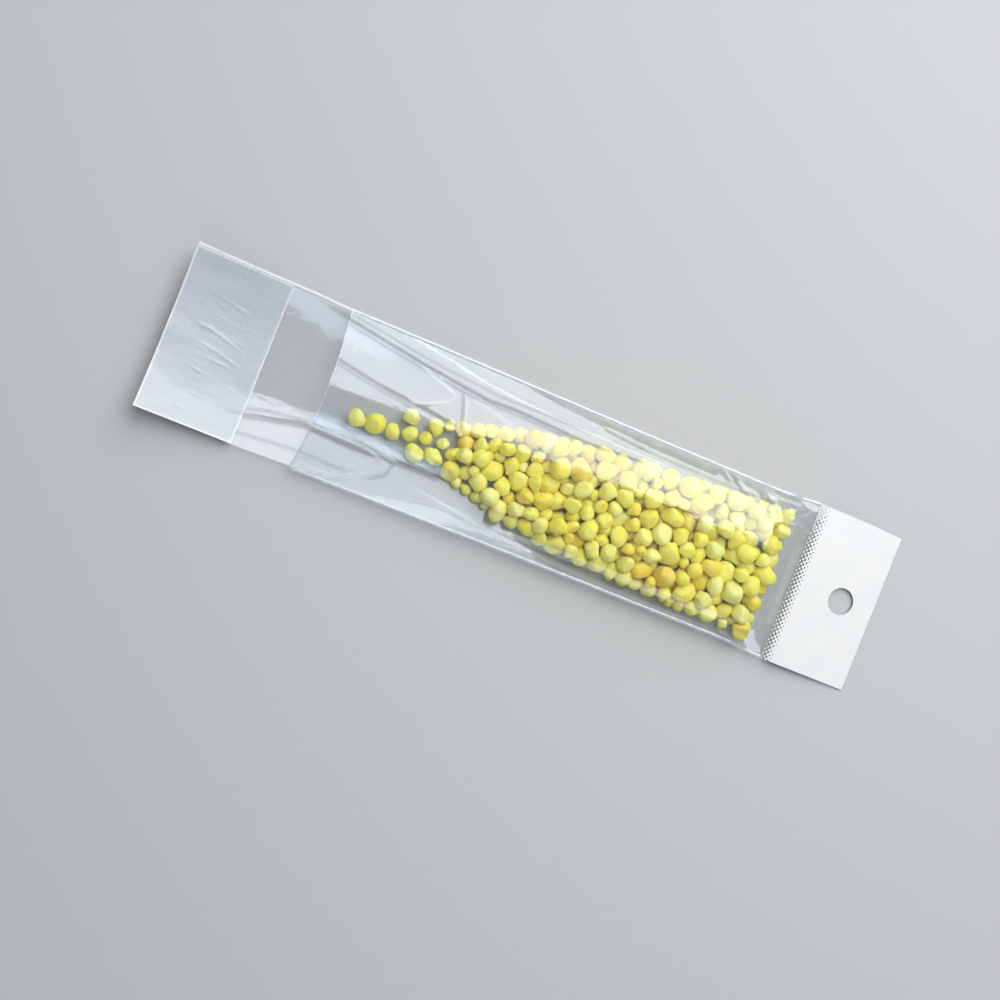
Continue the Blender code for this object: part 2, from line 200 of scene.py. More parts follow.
def back_z(x, across):
    """Lower face of the back ply and of the flap."""
    flat = flat_share(x)
    side = np.clip((np.abs(across) - flat) / (1 - flat), 0.0, 1.0)
    out = np.clip((mouth_x - x) / flap_length, 0.0, 1.0)
    kept = flap_cup_share + (1 - flap_cup_share) * flap_flat(x)
    lifted = (weld_height(x) - underside(x)) * kept * side * side
    return underside(x) + lifted + flap_curl * out ** 3


def front_z(x, across):
    """Upper face of the front ply."""
    low = weld_height(x) + 2 * film_gauge
    arch = 1 - np.abs(across) ** filled(x, crown_power_empty, crown_power_filled)
    return low + (crown(x) - weld_height(x)) * arch + pucker(x, across)


def mouth_at(across):
    """The mouth's cut edge, which the arch of the front ply draws in at the middle."""
    return mouth_x + mouth_dip * (1 - across * across)


def header_z(x):
    """Lower face of the header, which slopes from the seal down to the surface."""
    return seal_height * (header_end - x) / header_length


def heap_sides(x):
    """Low and high side of the heap at x, from its plan."""
    share = (x - mouth_x) / (seal_x - heap_end_gap - mouth_x)
    stations, low, high = zip(*heap_plan)
    inner = inner_half_width(x)
    return inner * np.interp(share, stations, low), inner * np.interp(share, stations, high)


def floor_at(x, y):
    """The height that a pastille's underside keeps clear of the back ply."""
    return back_z(x, y / inner_half_width(x)) + film_gauge + pastille_clearance


def roof_at(x, y):
    """The height that a pastille's top keeps clear of the front ply."""
    return front_z(x, y / inner_half_width(x)) - film_gauge - pastille_clearance


def heap_span():
    """Where the heap starts and ends along the bag."""
    end = seal_x - heap_end_gap
    return mouth_x + heap_plan[0][0] * (end - mouth_x), end


def scatter_pastilles(rng):
    """Centres and radii: those at the tip first, then random ones that fill the heap's space."""
    start, end = heap_span()
    stations = np.linspace(start, end, heap_slices)
    low, high = heap_sides(stations)
    roof = roof_at(stations, 0.0)
    depth = np.maximum(high - low, pastille_diameter) * (roof - pastille_diameter / 2)
    volume = float(depth.sum() * (stations[1] - stations[0]))
    single = math.pi / 6 * pastille_diameter ** 3 * (1 + 3 * pastille_spread ** 2)
    count = int(packing_density * volume / single)

    radii = pastille_diameter / 2 * np.clip(
        rng.normal(1.0, pastille_spread, count), pastille_least_share, pastille_most_share
    )
    x = rng.choice(stations, count, p=depth / depth.sum())
    y = np.interp(x, stations, low) + rng.random(count) * np.interp(x, stations, high - low)
    z = radii + rng.random(count) * np.interp(x, stations, roof - pastille_diameter)
    along, across, size = np.array(tip_pastilles).T
    tip_x = mouth_x + along * (end - mouth_x)
    tip_y = across * inner_half_width(tip_x)
    tip_radii = size * pastille_diameter / 2
    spot = np.stack((np.append(tip_x, x), np.append(tip_y, y), np.append(tip_radii, z)), axis=1)
    return spot, np.append(tip_radii, radii)


def settle_pastilles():
    """Centres and radii of the pastilles, pushed apart until they lie still, and which of them lie
    loose at the heap's tip."""
    spot, radii = scatter_pastilles(np.random.default_rng(settle_seed))
    start, end = heap_span()
    parting_x = mouth_x + tip_run_share * (end - mouth_x)
    tip = spot[:len(tip_pastilles), :2].copy()
    loose = spot[:, 0] < parting_x
    least_x = np.where(loose, start, parting_x + pastille_clearance / 2) + radii
    most_x = np.where(loose, parting_x - pastille_clearance / 2, end) - radii
    beside, drop = beside_share * radii, edge_height * radii

    for turn in range(settle_rounds):
        if turn % neighbour_rounds == 0:
            apart = np.linalg.norm(spot[:, None] - spot[None], axis=2)
            near = np.triu(apart < neighbour_share * (radii[:, None] + radii[None]), 1)
            one, other = np.nonzero(near)
        spot[:, 2] -= settle_step
        between = spot[one] - spot[other]
        distance = np.linalg.norm(between, axis=1) + 1e-9
        overlap = np.clip(radii[one] + radii[other] - distance, 0, None)
        push = settle_push * between * (overlap / distance)[:, None]
        np.add.at(spot, one, push)
        np.add.at(spot, other, -push)
        spot[:, 0] = np.clip(spot[:, 0], least_x, most_x)
        low, high = heap_sides(spot[:, 0])
        middle = (low + high) / 2
        low, high = np.minimum(low + radii, middle), np.maximum(high - radii, middle)
        spot[:, 1] = np.clip(spot[:, 1], low, high)
        spot[:len(tip), :2] = tip
        x, y = spot[:, 0], spot[:, 1]
        out_y = y + np.sign(y) * beside
        floor = np.maximum(floor_at(x, y) + radii, floor_at(x, out_y) + drop)
        roof = np.minimum(roof_at(x, y) - radii, roof_at(x, out_y) - drop)
        roof = np.minimum(roof, roof_at(x + beside, y) - drop)
        spot[:, 2] = np.clip(spot[:, 2], floor, np.maximum(roof, floor))
    return spot, radii, loose


# Finer shape that only the visible pieces have, in metres
weld_ridge = 0.00010
halftone_pitch = 0.00105
print_hole_gap, print_hole_run = 0.0001, 0.001
rim_width = 0.00035
fold_end = 0.0035
front_fade_run, back_fade_run = 0.003, 0.012
back_lift = 0.00010
ripple_height, ripple_pitch, ripple_run, ripple_start = 0.00006, 0.0012, 0.0030, 0.0005

# Gentle waves in the plies and the liner: pitches and height in metres, and a seed
front_waves = ((0.031, 0.047, 0.022), 0.00006, 3)
back_waves = ((0.040, 0.026), 0.00005, 5)
liner_waves = ((0.025, 0.041, 0.017), 0.00009, 9)

# Shares and powers: between which shares of the weld's width its ridge is full, how the front ply's
# detail fades at its sides, how far the ink's threshold starts and falls over the fade, and at how
# many rim widths the painted highlight along a layer's edge ends
ridge_from, ridge_to = 0.30, 0.62
side_fade_power = 8
ink_threshold, ink_threshold_fall = 0.80, 0.92
edge_highlight_end = 1.5

# The liner's fine creases: how many, and the least and most of each measure. Places, lengths and
# leans are in mm, the bend is a share of the lean, and widths and heights are in metres
crinkle_seed, crinkle_count = 11, 44
crinkle_start, crinkle_middle, crinkle_reach = (-3.0, 5.0), (-21.0, 20.0), (4.0, 10.0)
crinkle_lean, crinkle_bend = (-1.6, 0.2), (0.3, 0.7)
crinkle_width, crinkle_height = (0.00020, 0.00036), (0.00001, 0.00004)

# Mesh fineness: metres between points, or numbers of points or cells
film_step = 0.00042
back_step = 0.00056
liner_step = 0.00035
glue_step = 0.0010
header_rows, header_columns = 37, 65
print_fade_step, print_rows, print_columns = 0.00014, 44, 351
hole_sides = 96
loose_cells, heap_cells = 10, 7

# How uneven a pastille is, as shares of its radius, and how painted shade deepens its colour where
# it nears another pastille
lump_seed = 1000
lump_waves, lump_wave_height = 6, 0.050
lump_wave_turns, lump_wave_phase = (1.5, 4.5), 6.28
lump_flats, flat_least, flat_most, flat_pressed = 5, 0.66, 0.92, 0.85
loose_stretch = 1.08
heap_stretch_least, heap_stretch_most = (1.12, 1.02, 0.92), (1.26, 1.14, 1.06)
floor_pressed, roof_pressed = 0.00010, 0.00012
# Painted shade between pastilles: how far it reaches, over what run it fades in, and how sharply
crevice_shade_reach, crevice_shade_run, crevice_shade_power = 0.0012, 0.0007, 1.5


def fold(x, y, path, width, height):
    """Height of a ridge, or of a groove where it is negative, along a path of points in mm. The
    painted highlight or shade along creases is made the same way, with its strength for the height."""
    path = np.array(path) / 1000
    runs = np.diff(path, axis=0)
    lengths = np.hypot(*runs.T)
    starts = np.concatenate(([0], np.cumsum(lengths)))
    best, along = np.full(np.shape(x), np.inf), np.zeros(np.shape(x))
    for point, run, length, start in zip(path, runs, lengths, starts):
        share = np.clip(((x - point[0]) * run[0] + (y - point[1]) * run[1]) / length ** 2, 0, 1)
        off = np.hypot(x - point[0] - share * run[0], y - point[1] - share * run[1])
        nearer = off < best
        best, along = np.where(nearer, off, best), np.where(nearer, start + share * length, along)
    ends = smooth(np.minimum(along, starts[-1] - along) / min(fold_end, starts[-1] / 2))
    return height * np.exp(-(best / width) ** 2) * ends


def waves(x, y, pitches, height, seed):
    """A sum of gentle waves in random directions."""
    made = np.random.default_rng(seed)
    total = 0.0
    for pitch in pitches:
        turn, phase = made.uniform(0, 2 * np.pi, 2)
        total = total + np.sin(2 * np.pi * (x * np.cos(turn) + y * np.sin(turn)) / pitch + phase)
    return height * total / len(pitches)


# Creases that the photo shows, which are both a shape and a painted highlight or shade here: points
# of the path in mm
long_pleat = ((-74, 22.6), (-42, 17.5), (-21, 14.9), (-13, 15.3), (10, 14.3), (30, 15.5))
mouth_pleat = ((-74, 11.2), (-49, 6.6), (-37, 5.4), (-27, 4.0))
side_pleat = ((12, 20.6), (30, 19.0), (52, 18.6), (68, 19.6), (77, 21.4))
back_pleat = ((-90, -16.9), (-67, -11.9), (-53, -12.5), (-40, -11.8), (-24, -11.6))
back_arc = ((-66, -10.8), (-50, -11.0), (-40.5, -12.6), (-42, -15.5), (-54, -21.5), (-66, -22.6))

# The shapes of the creases in each ply: points of the path in mm, width and height in metres
front_folds = [
    (long_pleat, 0.0007, -0.00016),
    (mouth_pleat, 0.0006, -0.00008),
    (((-42.5, 16.8), (-34.0, 14.1), (-28.4, 11.6)), 0.0006, 0.00016),
    (((-27.6, 13.2), (-33.6, 9.3), (-39.6, 6.0), (-44.0, 5.0)), 0.0006, 0.00008),
    (((-29.4, 16.0), (-28.0, 12.6), (-26.5, 8.0), (-24.8, 1.6)), 0.0006, -0.00010),
    (((-29.5, 13.8), (-19.9, 13.1), (-11.1, 10.5), (0.0, 9.2)), 0.0006, -0.00010),
    (side_pleat, 0.0006, -0.00020),
    (((34, 16.6), (50, 15.4), (66, 16.8), (75, 19.0)), 0.0006, 0.00014),
    (((-36, -16.0), (-12, -19.4), (20, -20.9), (56, -21.5)), 0.0006, -0.00018),
    (((44, 24.2), (50, 21.4), (54.5, 20.2)), 0.0006, 0.00030),
    (((50, 24.2), (56, 20.8), (61, 18.4)), 0.0006, -0.00034),
    (((55, 24.2), (62.5, 20.4), (67, 16.8)), 0.0006, 0.00036),
    (((61, 24.4), (66.5, 20.6), (71.5, 17.2)), 0.0006, -0.00036),
    (((65, 24.6), (70.4, 19.2), (73.4, 13.8)), 0.0006, 0.00040),
    (((70, 24.6), (74.4, 18.6), (76.2, 12.2)), 0.0006, -0.00036),
    (((73.0, 24.6), (76.2, 20.0), (78.0, 14.0)), 0.0006, 0.00036),
    (((72.6, -19.0), (73.6, -9.0), (73.8, 2.0), (73.4, 12.0)), 0.0006, 0.00016),
    (((68.0, -22.8), (72.0, -19.6), (75.6, -15.0)), 0.0006, 0.00020),
]
back_folds = [
    (back_pleat, 0.0009, -0.00007),
    (back_arc, 0.0010, 0.00014),
    (((-84, -20.6), (-66, -18.6), (-48, -19.1)), 0.0010, -0.00007),
]

# Their painted light: path in mm, width in metres, and how far a painted highlight whitens the
# film, or painted shade dulls and darkens it below 0
front_crease_light = [
    (long_pleat, 0.0005, -0.75),
    (((-74, 21.2), (-42, 16.1), (-23, 13.7), (-12, 14.1), (8, 13.2)), 0.0004, -0.50),
    (((-74, 24.2), (-42, 19.4), (-18, 17.2), (8, 17.4)), 0.0004, -0.40),
    (mouth_pleat, 0.0005, -0.75),
    (((-74, 9.8), (-50, 5.6), (-38, 4.4)), 0.0004, -0.45),
    (((-29.4, 15.4), (-28.0, 12.6), (-26.5, 8.0), (-24.8, 1.6)), 0.0005, -0.70),
    (((-28.3, 15.2), (-27.0, 12.4), (-25.5, 8.0), (-24.0, 2.4)), 0.0004, 0.55),
    (((-42.5, 16.8), (-38.7, 15.6), (-34.0, 14.1), (-29.0, 12.2)), 0.0004, 0.65),
    (((-29.0, 12.4), (-33.6, 9.3), (-37.8, 6.9), (-42.0, 5.9)), 0.0005, 0.40),
    (((-27.5, 13.4), (-19.9, 13.1), (-11.1, 10.5), (0.0, 9.2)), 0.0008, 0.25),
    (((-72, 18.0), (-66.0, 16.6), (-63.4, 14.4), (-72, 11.6)), 0.0024, 0.24),
    (((-64.0, 18.8), (-60.4, 16.6), (-59.6, 13.6), (-61.2, 11.2)), 0.0009, 0.16),
    (side_pleat, 0.0005, -0.40),
    (((24, 13.4), (44, 14.6), (62, 15.4), (72, 16.8)), 0.0005, 0.16),
    (((48.6, 23.4), (51.7, 21.3), (54.6, 18.4)), 0.0006, -0.80),
    (((50.6, 23.6), (53.6, 21.4), (56.2, 18.8)), 0.0005, 0.60),
    (((52.6, 23.4), (55.5, 21.4), (57.8, 18.8)), 0.0006, -0.80),
    (((54.6, 23.8), (57.4, 21.4), (60.4, 19.6)), 0.0005, 0.50),
    (((57.6, 23.8), (60.0, 21.6), (62.6, 20.0)), 0.0006, -0.60),
    (((79.4, 24.0), (72.5, 21.8), (64.0, 21.4)), 0.0014, 0.36),
    (((79.2, 22.8), (72.7, 20.0), (67.4, 18.6)), 0.0006, 0.45),
    (((78.6, 23.4), (71.0, 22.6), (63.0, 23.6)), 0.0006, -0.60),
    (((77.6, 21.4), (70.4, 19.4), (64.0, 19.4)), 0.0005, -0.50),
    (((-20, -20.0), (6, -21.2), (27, -22.0), (47, -22.4), (62, -22.6)), 0.0006, 0.30),
    (((-14, -18.4), (8, -19.6), (30, -20.6), (52, -21.4)), 0.0005, -0.55),
    (((66.0, -20.6), (69.7, -21.9), (76.0, -23.6)), 0.0005, 0.40),
    (((64.4, -21.8), (69.0, -23.0), (76.0, -24.2)), 0.0005, -0.60),
]
back_crease_light = [
    (((-74, 22.8), (-42, 17.8), (-21, 15.2), (-13, 15.6), (10, 14.6), (30, 15.8)), 0.0006, -0.70),
    (back_pleat, 0.0006, -0.65),
    (((-90, -15.2), (-78.8, -11.7), (-68.9, -10.2), (-56.0, -9.9)), 0.0005, -0.45),
    (((-90, -20.9), (-66, -18.8), (-48, -19.3)), 0.0006, -0.40),
    (back_arc, 0.0007, 0.36),
    (((-54, -9.8), (-46, -10.4), (-39.2, -12.4), (-40.6, -16.4), (-46, -19.6)), 0.0005, -0.55),
]


def front_detail(x, y):
    """What creases and gentle waves add to the front ply's height."""
    sides = 1 - np.clip(np.abs(y) / inner_half_width(x), 0, 1) ** side_fade_power
    fade = np.clip((seal_x - x) / front_fade_run, 0, 1) * sides
    folds = sum(fold(x, y, *one) for one in front_folds)
    return fade * (folds + waves(x, y, *front_waves))


def back_detail(x, y):
    """What creases and gentle waves add to the back ply's height, with a little lift for them."""
    fade = np.clip((seal_x - x) / back_fade_run, 0, 1)
    folds = sum(fold(x, y, *one) for one in back_folds)
    return fade * (folds + back_lift + waves(x, y, *back_waves))


def grid_quads(index):
    """The quads between neighbours in a grid of point numbers."""
    quads = np.stack((index[:-1, :-1], index[1:, :-1], index[1:, 1:], index[:-1, 1:]), axis=-1)
    return quads.reshape(-1, 4)


def grid_shell(name, top, low):
    """A closed shell between two equal grids of points, as arrays of rows, columns and xyz."""
    rows, columns = top.shape[:2]
    count = rows * columns
    index = np.arange(count).reshape(rows, columns)
    quads = grid_quads(index)
    faces = [quads, quads[:, ::-1] + count]
    rim = np.concatenate((index[0, :], index[1:, -1], index[-1, -2::-1], index[-2::-1, 0]))
    faces.append(np.stack((rim[:-1], rim[1:], rim[1:] + count, rim[:-1] + count), axis=-1))
    points = np.concatenate((top.reshape(-1, 3), low.reshape(-1, 3)))
    return mesh_object(name, points, np.concatenate(faces))


def add_object(name, data):
    """A new object of the scene with this mesh, lamp or camera."""
    made = bpy.data.objects.new(name, data)
    bpy.context.scene.collection.objects.link(made)
    return made


def mesh_object(name, points, faces, smooth_angle=40):
    """An object of these points and faces, smooth except along edges sharper than the angle."""
    mesh = bpy.data.meshes.new(name)
    mesh.from_pydata(np.asarray(points).tolist(), [], [list(map(int, face)) for face in faces])
    mesh.validate()
    bm = bmesh.new()
    bm.from_mesh(mesh)
    bmesh.ops.recalc_face_normals(bm, faces=bm.faces)
    bm.to_mesh(mesh)
    bm.free()
    mesh.shade_smooth()
    mesh.set_sharp_from_angle(angle=math.radians(smooth_angle))
    return add_object(name, mesh)


# Materials

# The film: how much a face mirrors straight on, how much more at a slant and how suddenly, and how
# far the painted shade along its creases dulls the mirror and darkens what shines through, and the
# painted highlight whitens the film
mirror_least, mirror_more, mirror_power = 0.054, 0.90, 5.0
mirror_colour = (0.91, 0.945, 1.0, 1.0)
crease_shade_dimming, crease_highlight_strength = 0.85, 0.5
# The painted shade's colour for what shines through along creases
crease_shade_tint = (0.84, 0.85, 0.865, 1.0)


def new_material(name, colour):
    """A material with its nodes still to come, and its colour for plain views."""
    made = bpy.data.materials.new(name)
    made.use_nodes = True
    made.node_tree.nodes.clear()
    made.diffuse_color = (*colour, 1.0)
    return made, made.node_tree


def add_node(tree, kind, **values):
    """A node with its properties set, and its sockets set or linked where a name is a socket's,
    with _ for a space."""
    made = tree.nodes.new(kind)
    for name, value in values.items():
        socket = made.inputs.get(name.replace("_", " "))
        if socket is None:
            setattr(made, name, value)
        else:
            give(tree, socket, value)
    return made


def give(tree, socket, value):
    """Links another node's output to the socket, or sets its value."""
    if isinstance(value, bpy.types.NodeSocket):
        tree.links.new(value, socket)
    else:
        socket.default_value = value


def maths(tree, operation, *values):
    """One step of arithmetic on numbers or on other nodes' outputs."""
    made = add_node(tree, "ShaderNodeMath", operation=operation)
    for socket, value in zip(made.inputs, values):
        give(tree, socket, value)
    return made.outputs[0]


def mixed(tree, factor, first, second):
    """Two shaders mixed by a factor."""
    made = add_node(tree, "ShaderNodeMixShader")
    for socket, value in zip(made.inputs, (factor, first, second)):
        give(tree, socket, value)
    return made.outputs[0]


def blended(tree, factor, first, second, blend_type="MIX"):
    """Two colours blended by a factor."""
    made = add_node(tree, "ShaderNodeMix", data_type="RGBA", blend_type=blend_type)
    for number, value in ((0, factor), (6, first), (7, second)):
        give(tree, made.inputs[number], value)
    return made.outputs[2]


def marks(tree, name):
    """The numbers that a piece's points carry under this name."""
    return add_node(tree, "ShaderNodeAttribute", attribute_name=name).outputs["Fac"]


def noise(tree, scale, detail=2.0, stretch=(1, 1, 1), roughness=0.5):
    """Noise over the object's own coordinates, with features of about 1 / scale metres."""
    own = add_node(tree, "ShaderNodeTexCoord").outputs["Object"]
    mapped = add_node(tree, "ShaderNodeMapping", Vector=own, Scale=stretch).outputs[0]
    return add_node(tree, "ShaderNodeTexNoise", Vector=mapped, Scale=scale, Detail=detail,
                    Roughness=roughness).outputs["Fac"]


def ramp(tree, factor, *stops):
    """A colour or a grey level from a factor, by stops of position and colour or level."""
    made = add_node(tree, "ShaderNodeValToRGB")
    elements = made.color_ramp.elements
    while len(elements) < len(stops):
        elements.new(0.5)
    for element, (position, colour) in zip(elements, stops):
        element.position = position
        element.color = (*(colour if isinstance(colour, tuple) else (colour,) * 3), 1.0)
    tree.links.new(factor, made.inputs[0])
    return made.outputs[0]


def bump(tree, height, strength, distance):
    return add_node(tree, "ShaderNodeBump", Height=height, Strength=strength,
                    Distance=distance).outputs["Normal"]


def finish_material(tree, shader):
    add_node(tree, "ShaderNodeOutputMaterial", Surface=shader)


def film_material(name="film_clear", haze_least=0.004, haze_most=0.030, tint=(0.985, 0.99, 0.995)):
    """Thin clear film: each face mirrors a little, more at a slant, and lets the rest through.
    Along its creases a painted highlight whitens it where the marks are above 0, and painted shade
    dulls and darkens it where they are below."""
    made, tree = new_material(name, (0.86, 0.90, 0.94))
    # Painted light along creases: a highlight where the marks are above 0, shade where they are
    # below
    crease_light = marks(tree, "crease_light")
    crease_highlight_share = maths(tree, "MAXIMUM", crease_light, 0.0)
    crease_shade_share = maths(tree, "MINIMUM", crease_light, 0.0)
    slant = add_node(tree, "ShaderNodeLayerWeight", Blend=0.5).outputs["Facing"]
    steep = maths(tree, "POWER", slant, mirror_power)
    mirror = maths(tree, "MULTIPLY_ADD", steep, mirror_more, mirror_least)
    # Painted shade along creases: it dims the mirror and darkens what shines through
    kept = maths(tree, "MULTIPLY_ADD", crease_shade_share, crease_shade_dimming, 1.0)
    mirror = maths(tree, "MULTIPLY", mirror, kept)
    crease_shade_depth = maths(tree, "MULTIPLY", crease_shade_share, -1.0)
    through = blended(tree, crease_shade_depth, (*tint, 1.0), crease_shade_tint)
    clear = add_node(tree, "ShaderNodeBsdfTransparent", Color=through).outputs[0]
    uneven = bump(tree, noise(tree, 260.0, 3.0, (0.5, 1, 1)), 0.25, 0.0002)
    shine = add_node(tree, "ShaderNodeBsdfAnisotropic", Color=mirror_colour, Roughness=0.07,
                     Normal=uneven).outputs[0]
    scuff = ramp(tree, noise(tree, 900.0, 5.0, (0.35, 1, 1), 0.7),
                 (0.40, haze_least), (0.75, haze_most))
    milky = add_node(tree, "ShaderNodeBsdfDiffuse", Color=(0.90, 0.93, 0.96, 1.0)).outputs[0]
    # Painted highlight along creases, added to the real haze of scuffs in the milky shader
    haze_and_highlight = maths(tree, "MULTIPLY_ADD", crease_highlight_share, crease_highlight_strength, scuff)
    body = mixed(tree, haze_and_highlight, clear, milky)
    finish_material(tree, mixed(tree, mirror, body, shine))
    return made


def weld_material():
    """The welded edge: the same film, melted together and a little milky."""
    return film_material("film_weld", 0.10, 0.30, (0.93, 0.95, 0.97))


def wax_material():
    """Soft yellow wax: each pastille has its own tone, and painted shade deepens the colour in the
    gaps between pastilles.
    """
    made, tree = new_material("yellow_wax", (0.90, 0.78, 0.16))
    plain = ramp(tree, marks(tree, "lot"), (0.0, (0.97, 0.70, 0.030)), (0.12, (0.98, 0.84, 0.050)),
                 (0.60, (0.99, 0.91, 0.110)), (1.0, (0.99, 0.95, 0.32)))
    mottle = ramp(tree, noise(tree, 420.0, 4.0), (0.42, 0.0), (0.70, 0.45))
    cloudy = blended(tree, mottle, plain, (0.985, 0.94, 0.44, 1.0))
    # Painted shade: the gaps between pastilles are multiplied towards orange
    depth = maths(tree, "MULTIPLY", marks(tree, "crevice_shade"), 0.70)
    crevice_shaded = blended(tree, depth, cloudy, (1.0, 0.76, 0.30, 1.0), "MULTIPLY")
    rough = ramp(tree, noise(tree, 1500.0, 3.0), (0.3, 0.34), (0.7, 0.52))
    grain = noise(tree, 2600.0, 2.0)
    skin = maths(tree, "MULTIPLY_ADD", grain, 0.35, noise(tree, 700.0, 4.0))
    wax = add_node(tree, "ShaderNodeBsdfPrincipled", Base_Color=crevice_shaded, Roughness=rough, IOR=1.44,
                   Normal=bump(tree, skin, 0.5, 0.00025), Subsurface_Weight=0.45,
                   Subsurface_Radius=(1.0, 0.62, 0.14), Subsurface_Scale=0.0022)
    finish_material(tree, wax.outputs[0])
    return made


def ink_material():
    """Opaque white print under the gloss of the film."""
    made, tree = new_material("white_ink", (0.94, 0.94, 0.94))
    tone = ramp(tree, noise(tree, 120.0, 5.0), (0.35, (0.80, 0.805, 0.81)), (0.65, 0.83))
    rough = ramp(tree, noise(tree, 700.0, 4.0), (0.3, 0.28), (0.7, 0.40))
    ink = add_node(tree, "ShaderNodeBsdfPrincipled", Base_Color=tone, Roughness=rough,
                   Normal=bump(tree, noise(tree, 500.0, 3.0), 0.12, 0.0001),
                   Coat_Weight=0.25, Coat_Roughness=0.12)
    finish_material(tree, ink.outputs[0])
    return made


def liner_material():
    """Satin release film, cloudy and a little streaked, with a painted highlight along its cut
    edge.
    """
    made, tree = new_material("release_film", (0.74, 0.80, 0.86))
    # The rim marks are a painted highlight: the liner turns pale and opaque along its cut edge
    rim = marks(tree, "rim")
    tone = ramp(tree, noise(tree, 170.0, 3.0, (0.15, 1, 1)),
                (0.30, (0.53, 0.585, 0.64)), (0.70, (0.60, 0.65, 0.70)))
    rough = ramp(tree, noise(tree, 900.0, 3.0), (0.3, 0.20), (0.7, 0.29))
    streaks = bump(tree, noise(tree, 400.0, 3.0, (0.15, 1, 1)), 0.2, 0.0002)
    satin = add_node(tree, "ShaderNodeBsdfPrincipled", Roughness=rough, Normal=streaks,
                     Base_Color=blended(tree, rim, tone, (0.95, 0.96, 0.97, 1.0)),
                     Specular_IOR_Level=1.0)
    clear = add_node(tree, "ShaderNodeBsdfTransparent", Color=(0.95, 0.97, 1.0, 1.0)).outputs[0]
    body = ramp(tree, noise(tree, 260.0, 3.0, (0.12, 1, 1)), (0.3, 0.83), (0.7, 0.90))
    body = maths(tree, "MAXIMUM", body, rim)
    finish_material(tree, mixed(tree, body, clear, satin.outputs[0]))
    return made


def glue_material():
    """The thin cloudy band of adhesive."""
    made, tree = new_material("adhesive", (0.80, 0.83, 0.86))
    tone = ramp(tree, noise(tree, 240.0, 4.0),
                (0.3, (0.70, 0.74, 0.77)), (0.7, (0.80, 0.83, 0.85)))
    tacky = add_node(tree, "ShaderNodeBsdfPrincipled", Base_Color=tone, Roughness=0.35)
    clear = add_node(tree, "ShaderNodeBsdfTransparent", Color=(0.97, 0.98, 0.99, 1.0)).outputs[0]
    body = ramp(tree, noise(tree, 600.0, 3.0, (1, 0.3, 1)), (0.3, 0.25), (0.7, 0.45))
    finish_material(tree, mixed(tree, body, clear, tacky.outputs[0]))
    return made


# The film

def places_across(step):
    """Shares across the bag's inner width, from -1 to 1, about a step apart."""
    return np.linspace(-1, 1, round(bag_width / step) + 1)


def film_points(lines, across, height, lift):
    """Points of one film face: each line gives x from across, and both its ends get the weld."""
    rows = []
    for line in lines:
        x = line(across)
        inner = inner_half_width(x)
        y = across * inner
        row = np.stack((x, y, height(x, across, y) + lift), axis=-1)
        edges = []
        for side in (0, -1):
            here = row[side]
            wide = half_width(x[side])
            ridge = weld_ridge * smooth((x[side] - mouth_x) / fold_end)
            for share, rise in ((ridge_from, ridge), (ridge_to, ridge), (1.0, 0.0)):
                out = inner[side] + share * (wide - inner[side])
                edges.append((here[0], math.copysign(out, across[side]), here[2] + rise))
        rows.append(np.concatenate((edges[:3][::-1], row, edges[3:])))
    return np.array(rows)


def between(start_of, end, share):
    """The line a share of the way from the line start_of(across) to x = end."""
    return lambda across: start_of(across) + (end - start_of(across)) * share


def front_shape(x, across, y):
    return front_z(x, across) + front_detail(x, y)


def back_shape(x, across, y):
    return back_z(x, across) + back_detail(x, y)


def cut_hole(piece):
    """Punches the hang hole through a piece of the header."""
    tilt, radius = math.atan2(seal_height, header_length), hang_hole_diameter / 2
    cutter_mesh = bpy.data.meshes.new("cutter")
    bm = bmesh.new()
    middle = Matrix.Translation((hang_hole_x, 0, header_z(hang_hole_x)))
    bmesh.ops.create_cone(
        bm, cap_ends=True, segments=hole_sides, radius1=radius, radius2=radius, depth=2 * radius,
        matrix=middle @ Matrix.Rotation(tilt, 4, "Y"),
    )
    bm.to_mesh(cutter_mesh)
    bm.free()
    cutter = add_object("cutter", cutter_mesh)
    modifier = piece.modifiers.new("hole", "BOOLEAN")
    modifier.object, modifier.operation, modifier.solver = cutter, "DIFFERENCE", "EXACT"
    bpy.context.view_layer.update()
    graph = bpy.context.evaluated_depsgraph_get()
    cut = bpy.data.meshes.new_from_object(piece.evaluated_get(graph))
    piece.modifiers.clear()
    old = piece.data
    piece.data = cut
    bpy.data.meshes.remove(old)
    bpy.data.objects.remove(cutter)
    bpy.data.meshes.remove(cutter_mesh)


def add_values(piece, name, values):
    """Stores one number for each of the piece's points, for its material to read."""
    layer = piece.data.attributes.new(name, "FLOAT", "POINT")
    layer.data.foreach_set("value", np.asarray(values, dtype=np.float32))


def add_crease_light(piece, creases):
    """Marks the painted highlights and shade along the film's creases on its points, for its
    material to whiten or to dull and darken.
    """
    places = np.empty(3 * len(piece.data.vertices))
    piece.data.vertices.foreach_get("co", places)
    x, y, _ = places.reshape(-1, 3).T
    add_values(piece, "crease_light", sum(fold(x, y, *one) for one in creases))


def paint_welds(piece, clear, weld, rim_at=None):
    """Gives the welds, and the cut edge where rim_at(across) is stated, their own look."""
    piece.data.materials.append(clear)
    piece.data.materials.append(weld)
    for face in piece.data.polygons:
        x, y, _ = face.center
        inner = inner_half_width(x)
        on_weld = abs(y) > inner and x > mouth_x
        on_rim = rim_at and x < rim_at(min(abs(y) / inner, 1.0)) + rim_width
        if on_weld or on_rim:
            face.material_index = 1


